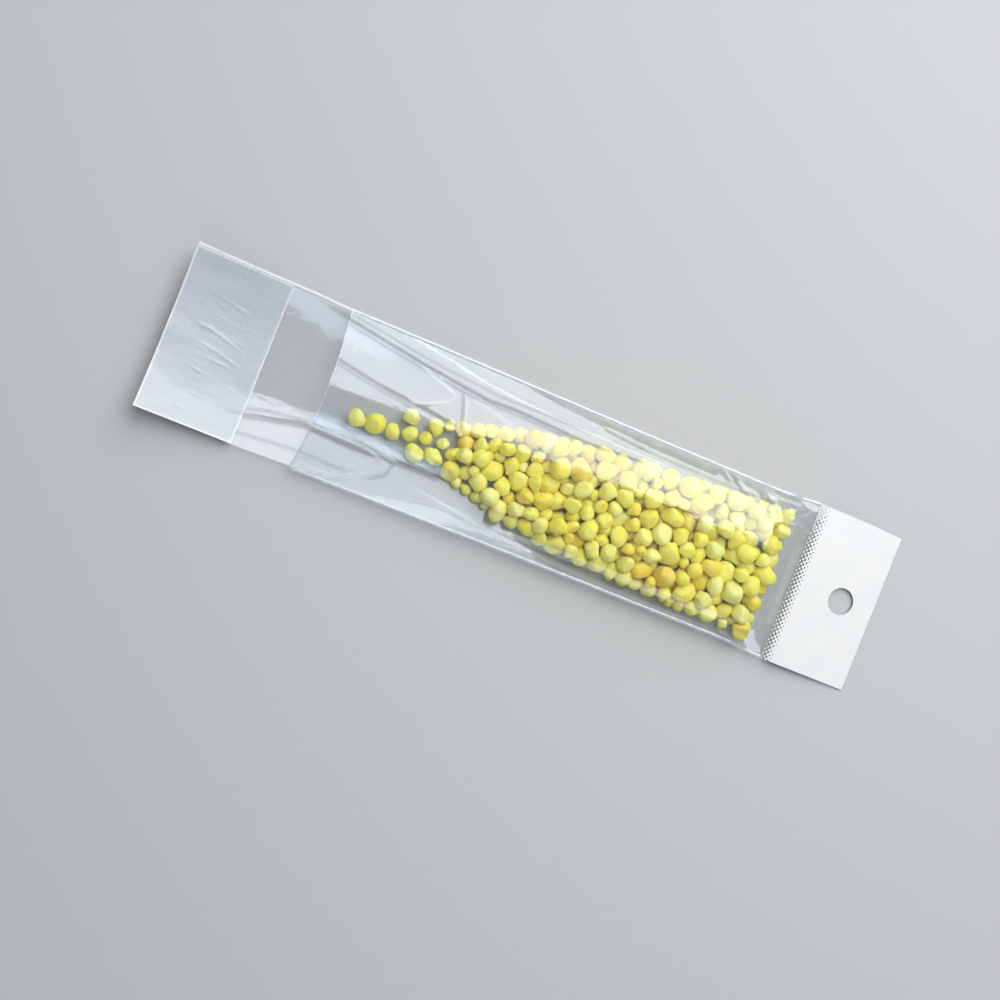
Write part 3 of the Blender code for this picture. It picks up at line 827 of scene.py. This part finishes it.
def add_front(clear, weld):
    across = places_across(film_step)
    count = round(pocket_length / film_step)
    lines = [between(mouth_at, seal_x, step / count) for step in range(count + 1)]
    top = film_points(lines, across, front_shape, 0.0)
    low = film_points(lines, across, front_shape, -film_gauge)
    piece = grid_shell("film_front", top, low)
    paint_welds(piece, clear, weld, mouth_at)
    add_crease_light(piece, front_crease_light)
    return piece


def add_back(clear, weld):
    across = places_across(back_step)
    count = round(total_length / back_step)
    stations = np.linspace(flap_end, seal_x, count + 1)
    lines = [lambda across, x=x: np.full_like(across, x) for x in stations]
    top = film_points(lines, across, back_shape, film_gauge)
    low = film_points(lines, across, back_shape, 0.0)
    piece = grid_shell("film_back", top, low)
    paint_welds(piece, clear, weld)
    add_crease_light(piece, back_crease_light)
    return piece


def add_header_film(clear):
    """The header's two plies, fused, with the seal's ripples at its start."""
    wide = half_width(seal_x)
    xs, ys = np.linspace(seal_x, header_end, header_rows), np.linspace(-wide, wide, header_columns)
    x, y = np.meshgrid(xs, ys, indexing="ij")
    ripple = ripple_height * np.sin(2 * np.pi * (x - seal_x) / ripple_pitch)
    fade = np.clip(1 - (x - seal_x) / ripple_run, 0, 1) * np.clip((x - seal_x) / ripple_start, 0, 1)
    z = header_z(x) + ripple * fade
    top = np.stack((x, y, z + 2 * film_gauge), axis=-1)
    low = np.stack((x, y, z), axis=-1)
    piece = grid_shell("film_header", top, low)
    cut_hole(piece)
    piece.data.materials.append(clear)
    return piece


# The header's print

def ink_field(x, y):
    """Above 0 where ink lies: solid over the header, with a halftone fade towards the seal."""
    fade = (x - seal_x - print_margin) / print_fade
    turn = 2 * np.pi / halftone_pitch
    dots = (np.cos(turn * (x + y) / math.sqrt(2)) + np.cos(turn * (x - y) / math.sqrt(2))) / 4 + 0.5
    ink = dots - (ink_threshold - ink_threshold_fall * fade)
    off_hole = np.hypot(x - hang_hole_x, y) - hang_hole_diameter / 2
    hole = (off_hole - print_hole_gap) / print_hole_run
    return np.minimum(np.minimum(ink, hole), 1.0)


def add_print(ink):
    """The inked area as a thin plate, cut along the line where the ink field is 0."""
    xs = np.concatenate((
        np.arange(seal_x + print_margin, seal_x + print_margin + print_fade, print_fade_step),
        np.linspace(seal_x + print_margin + print_fade, header_end - print_margin, print_rows)[1:],
    ))
    ys = np.linspace(-bag_width / 2 + print_margin, bag_width / 2 - print_margin, print_columns)
    values = ink_field(xs[:, None], ys[None, :])
    points, known, faces = [], {}, []

    def vertex(key, x, y):
        if key not in known:
            known[key] = len(points)
            points.append((x, y, header_z(x)))
        return known[key]

    for i in range(len(xs) - 1):
        for j in range(len(ys) - 1):
            corners = ((i, j), (i + 1, j), (i + 1, j + 1), (i, j + 1))
            if not any(values[corner] > 0 for corner in corners):
                continue
            face = []
            for here, there in zip(corners, corners[1:] + corners[:1]):
                a, b = values[here], values[there]
                if a > 0:
                    face.append(vertex(here, xs[here[0]], ys[here[1]]))
                if (a > 0) != (b > 0):
                    share = a / (a - b)
                    x = xs[here[0]] + share * (xs[there[0]] - xs[here[0]])
                    y = ys[here[1]] + share * (ys[there[1]] - ys[here[1]])
                    face.append(vertex(tuple(sorted((here, there))), x, y))
            if len(face) > 2:
                faces.append(face)

    count = len(points)
    ends = {}
    for face in faces:
        for a, b in zip(face, face[1:] + face[:1]):
            ends[(a, b)] = (b, a) not in ends and ends.get((a, b), True)
            if (b, a) in ends:
                ends[(b, a)] = ends[(a, b)] = False
    walls = [(a, b, b + count, a + count) for (a, b), open_end in ends.items() if open_end]
    rise = 2 * film_gauge + layer_gap
    low = [(x, y, z + rise) for x, y, z in points]
    top = [(x, y, z + rise + print_thickness) for x, y, z in points]
    lower = [[corner + count for corner in face[::-1]] for face in faces]
    piece = mesh_object("header_panel", top + low, faces + lower + walls)
    piece.data.materials.append(ink)
    return piece


# The flap's layers

def crinkles():
    """Fine creases along the bag, where the adhesive holds the liner."""
    made = np.random.default_rng(crinkle_seed)
    for _ in range(crinkle_count):
        start = 1000 * (flap_end + adhesive_margin) + made.uniform(*crinkle_start)
        middle, reach = made.uniform(*crinkle_middle), made.uniform(*crinkle_reach)
        lean = made.uniform(*crinkle_lean)
        halfway = (start + reach / 2, middle + lean * made.uniform(*crinkle_bend))
        path = ((start, middle), halfway, (start + reach, middle + lean))
        yield path, made.uniform(*crinkle_width), made.uniform(*crinkle_height)


liner_folds = list(crinkles()) + [
    (((-107.0, 14.5), (-101.0, 13.2), (-91.5, 11.4)), 0.00036, 0.00006),
    (((-106.5, 4.2), (-100.0, 3.6), (-91.0, 1.2)), 0.00042, 0.00007),
    (((-104.0, -0.6), (-97.0, -1.4), (-90.0, -3.4)), 0.00036, 0.00004),
]


def liner_detail(x, y):
    """How far the liner stands off the adhesive."""
    folds = sum(fold(x, y, *one) for one in liner_folds)
    return folds + np.abs(waves(x, y, *liner_waves))


def add_layer(name, start, end, low, thickness, finish, detail, step):
    """A thin layer over the flap from start to end, with its underside at low above the film."""
    across = places_across(step)
    rows = []
    for station in np.linspace(start, end, round((end - start) / step) + 1):
        x = np.full_like(across, station)
        y = across * inner_half_width(x)
        z = back_z(x, across) + back_detail(x, y) + low + detail(x, y)
        rows.append(np.stack((x, y, z), axis=-1))
    low_face = np.array(rows)
    top_face = low_face + np.array((0, 0, thickness))
    piece = grid_shell(name, top_face, low_face)
    piece.data.materials.append(finish)
    # Painted highlight along the layer's edges, which the liner's material reads
    inward = np.minimum(low_face[..., 0] - start, end - low_face[..., 0])
    inward = np.minimum(inward, inner_half_width(low_face[..., 0]) - np.abs(low_face[..., 1]))
    rim = np.clip(edge_highlight_end - inward / rim_width, 0, 1).reshape(-1)
    add_values(piece, "rim", np.tile(rim, 2))
    return piece


# The pastilles

def cube_sphere(cells):
    """Directions of a sphere's points, evenly spread, and its quads."""
    line = np.tan(np.linspace(-1, 1, cells + 1) * np.pi / 4)
    a, b = np.meshgrid(line, line, indexing="ij")
    one = np.ones_like(a)
    points, faces = [], []
    for axis in range(3):
        for sign in (-1, 1):
            face = np.roll(np.stack((sign * one, a, b), axis=-1), axis, axis=-1).reshape(-1, 3)
            start = len(points) * (cells + 1) ** 2
            index = np.arange((cells + 1) ** 2).reshape(cells + 1, cells + 1) + start
            quads = grid_quads(index)
            faces.append(quads if sign > 0 else quads[:, ::-1])
            points.append(face)
    points = np.concatenate(points)
    points /= np.linalg.norm(points, axis=1, keepdims=True)
    unique, index = np.unique(np.round(points, 6), axis=0, return_inverse=True)
    unique /= np.linalg.norm(unique, axis=1, keepdims=True)
    return unique, index.reshape(-1)[np.concatenate(faces)]


def turned(made):
    """A random rotation."""
    q = made.normal(size=4)
    w, x, y, z = q / np.linalg.norm(q)
    return np.array((
        (1 - 2 * (y * y + z * z), 2 * (x * y - z * w), 2 * (x * z + y * w)),
        (2 * (x * y + z * w), 1 - 2 * (x * x + z * z), 2 * (y * z - x * w)),
        (2 * (x * z - y * w), 2 * (y * z + x * w), 1 - 2 * (x * x + y * y)),
    ))


def lump(dirs, made):
    """An uneven pastille of about unit radius: soft hollows and a few pressed flats."""
    reach = np.ones(len(dirs))
    for _ in range(lump_waves):
        way = made.normal(size=3)
        way /= np.linalg.norm(way)
        swing = lump_wave_height * made.normal()
        angle = made.uniform(*lump_wave_turns) * dirs @ way + made.uniform(0, lump_wave_phase)
        reach += swing * np.sin(angle)
    points = dirs * reach[:, None]
    for _ in range(lump_flats):
        way = made.normal(size=3)
        way /= np.linalg.norm(way)
        cut = made.uniform(flat_least, flat_most)
        over = np.clip(points @ way - cut, 0, None)
        points = points - flat_pressed * over[:, None] * way
    return points


def pastille_mesh(name, chosen, spot, radii, dirs, quads, wax, flat):
    """One piece of the chosen pastilles, each a lump that stays between the plies. Flat ones lie
    flat on the film, and the others are turned at random."""
    points, faces, lots, crevice_shades = [], [], [], []
    for index in chosen:
        made = np.random.default_rng(lump_seed + index)
        shape = lump(dirs, made)
        if flat:
            turn = made.uniform(0, 2 * np.pi)
            along, side = math.cos(turn), math.sin(turn)
            spin = np.array(((along, -side, 0), (side, along, 0), (0, 0, 1)))
            shape = loose_stretch * shape * (1.0, pastille_narrowness, pastille_flatness) @ spin.T
        else:
            shape = shape * made.uniform(heap_stretch_least, heap_stretch_most) @ turned(made).T
        here = spot[index] + radii[index] * shape
        low, high = floor_at(here[:, 0], here[:, 1]), roof_at(here[:, 0], here[:, 1])
        here[:, 2] = np.clip(here[:, 2], low - floor_pressed, np.maximum(high + roof_pressed, low))
        # Painted shade: how near each point lies to another pastille, for the wax to darken
        apart = np.linalg.norm(spot - spot[index], axis=1)
        near = np.flatnonzero(apart < radii + radii[index] + crevice_shade_reach)
        near = near[near != index]
        shade_here = np.zeros(len(here))
        for other in near:
            gap = np.linalg.norm(here - spot[other], axis=1) - radii[other]
            shade_here = np.maximum(shade_here, np.clip(1 - gap / crevice_shade_run, 0, 1))
        faces.append(quads + len(points) * len(dirs))
        points.append(here)
        lots.append(np.full(len(here), made.random()))
        crevice_shades.append(shade_here ** crevice_shade_power)
    piece = mesh_object(name, np.concatenate(points), np.concatenate(faces), smooth_angle=180)
    add_values(piece, "lot", np.concatenate(lots))
    add_values(piece, "crevice_shade", np.concatenate(crevice_shades))
    piece.data.materials.append(wax)
    return piece


def add_pastilles(wax):
    """The loose pastilles one by one, numbered from the mouth, and the heap as one piece."""
    spot, radii, loose = settle_pastilles()
    from_tip = np.flatnonzero(loose)[np.argsort(spot[loose, 0])]
    dirs, quads = cube_sphere(loose_cells)
    for number, index in enumerate(from_tip, start=1):
        apart = np.linalg.norm(spot - spot[index], axis=1)
        apart[index] = np.inf
        share = radii[index] / (radii[index] + radii)
        own = radii.copy()
        own[index] = min(radii[index], float((apart * share).min())) - pastille_clearance / 4
        piece = pastille_mesh(f"wax_{number:02d}", [index], spot, own, dirs, quads, wax, True)
        place(piece, "yellow_wax", f"pastille_{number:02d}")
    dirs, quads = cube_sphere(heap_cells)
    heap = pastille_mesh("wax_heap", np.flatnonzero(~loose), spot, radii, dirs, quads, wax, False)
    place(heap, "yellow_wax", "pastille_heap")


def place(piece, slot, *nodes):
    """Rides the piece on the bag, and hides the parts that it stands for. The slot is not used."""
    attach(piece, "root")
    if nodes:
        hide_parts(*nodes)


# Stage, lights and camera

floor_colour = (0.55, 0.555, 0.56)
floor_reach = 4.0
floor_drop = 0.00005
floor_glow = 1.05
plain_from, plain_to = 0.38, 0.80
world_level = 0.20

# The lamps: name, centre, size, glow straight ahead, colour, the point that it faces, and spread
white, cool_white, sky_blue = (0.97, 0.985, 1.0), (0.95, 0.98, 1.0), (0.52, 0.78, 1.0)
lamps = (
    ("soft_box_upper", (0.25, 0.436, 0.787), (0.92, 0.77), 3.65, white, (0.25, 0, 0), 180),
    ("soft_box_side", (0.20, 0.80, 0.41), (0.80, 0.40), 3.8, white, (0.20, 0, 0), 130),
    ("soft_box_lower", (0.05, -0.80, 0.55), (0.70, 0.30), 1.5, cool_white, (0.01, 0, 0), 180),
    ("window", (-0.17, -0.17, 0.80), (0.28, 0.09), 2.1, sky_blue, (-0.17, 0, 0), 180),
)

# The camera's place and its own axes, fitted to the bag's corners in the photo
camera_place = (-0.06041, -0.01413, 0.39698)
camera_right = (0.91839, 0.37425, 0.12846)
camera_up = (-0.37209, 0.92728, -0.04131)
camera_back = (-0.13458, -0.00986, 0.99085)
camera_lens, camera_sensor = 49.45, 36


def add_stage():
    """A pale floor: it takes light and shadow near the bag, and is one plain tone far from it."""
    mesh = bpy.data.meshes.new("floor")
    edge = floor_reach
    corners = [(-edge, -edge, 0), (edge, -edge, 0), (edge, edge, 0), (-edge, edge, 0)]
    mesh.from_pydata(corners, [], [(0, 1, 2, 3)])
    floor = add_object("floor", mesh)
    floor.location = (0, 0, -floor_drop)
    made, tree = new_material("floor_grey", floor_colour)
    colour = (*floor_colour, 1.0)
    paint = add_node(tree, "ShaderNodeBsdfPrincipled", Base_Color=colour, Roughness=0.9,
                     Specular_IOR_Level=0.1)
    glow = add_node(tree, "ShaderNodeEmission", Color=colour, Strength=floor_glow)
    path = add_node(tree, "ShaderNodeLightPath").outputs
    seen = maths(tree, "MAXIMUM", path["Is Camera Ray"], path["Is Glossy Ray"])
    seen = maths(tree, "MAXIMUM", seen, path["Is Transmission Ray"])
    own = add_node(tree, "ShaderNodeTexCoord").outputs["Object"]
    reach = add_node(tree, "ShaderNodeVectorMath", operation="LENGTH", Vector=own).outputs["Value"]
    far = add_node(tree, "ShaderNodeMapRange", interpolation_type="SMOOTHSTEP", Value=reach,
                   From_Min=plain_from, From_Max=plain_to).outputs["Result"]
    plain = maths(tree, "MULTIPLY", seen, far)
    finish_material(tree, mixed(tree, plain, paint.outputs[0], glow.outputs[0]))
    made.cycles.emission_sampling = "NONE"
    mesh.materials.append(made)


def add_lamp(name, centre, size, radiance, colour, aim, spread):
    """A soft box: a rectangle that faces the bag and glows with the given strength straight ahead.
    A grid in front of it, unless the spread is 180, keeps its light within that many degrees."""
    lamp = bpy.data.lights.new(name, "AREA")
    lamp.shape = "RECTANGLE"
    lamp.size, lamp.size_y = size
    lamp.spread = math.radians(spread)
    half = math.radians(spread / 2)
    ahead = 1 / (1 - half / math.tan(half))
    lamp.energy = radiance * math.pi * size[0] * size[1] / ahead
    lamp.color = colour
    made = add_object(name, lamp)
    made.location = centre
    made.rotation_euler = (Vector(centre) - Vector(aim)).to_track_quat("Z", "Y").to_euler()
    made.visible_camera = False


def add_world():
    world = bpy.data.worlds.new("studio")
    world.use_nodes = True
    world.node_tree.nodes["Background"].inputs["Color"].default_value = (1.0, 1.0, 1.0, 1.0)
    world.node_tree.nodes["Background"].inputs["Strength"].default_value = world_level
    bpy.context.scene.world = world


def add_camera():
    data = bpy.data.cameras.new("camera")
    data.sensor_width = camera_sensor
    data.lens = camera_lens
    data.clip_start = 0.01
    camera = add_object("camera", data)
    turn = Matrix((camera_right, camera_up, camera_back)).transposed()
    camera.matrix_world = Matrix.Translation(camera_place) @ turn.to_4x4()
    bpy.context.scene.camera = camera


add_stage()
add_world()
for lamp in lamps:
    add_lamp(*lamp)
add_camera()

clear = film_material()
weld = weld_material()
place(add_front(clear, weld), "clear_film", "film_bag")
place(add_back(clear, weld), "clear_film")
place(add_header_film(clear), "clear_film")
place(add_print(ink_material()), "white_ink", "header_print")
glue_x, glue_low = flap_end + adhesive_margin, film_gauge + layer_gap
glue = add_layer("glue_band", glue_x, glue_x + adhesive_width, glue_low, adhesive_thickness,
                 glue_material(), lambda x, y: 0 * x, glue_step)
place(glue, "adhesive", "adhesive_strip")
liner_low = film_gauge + 2 * layer_gap + adhesive_thickness
liner = add_layer("liner", flap_end, flap_end + liner_length, liner_low, liner_thickness,
                  liner_material(), liner_detail, liner_step)
place(liner, "release_film", "release_liner")
add_pastilles(wax_material())

scene = bpy.context.scene
scene.view_settings.view_transform = "Standard"
scene.cycles.transparent_max_bounces = 24
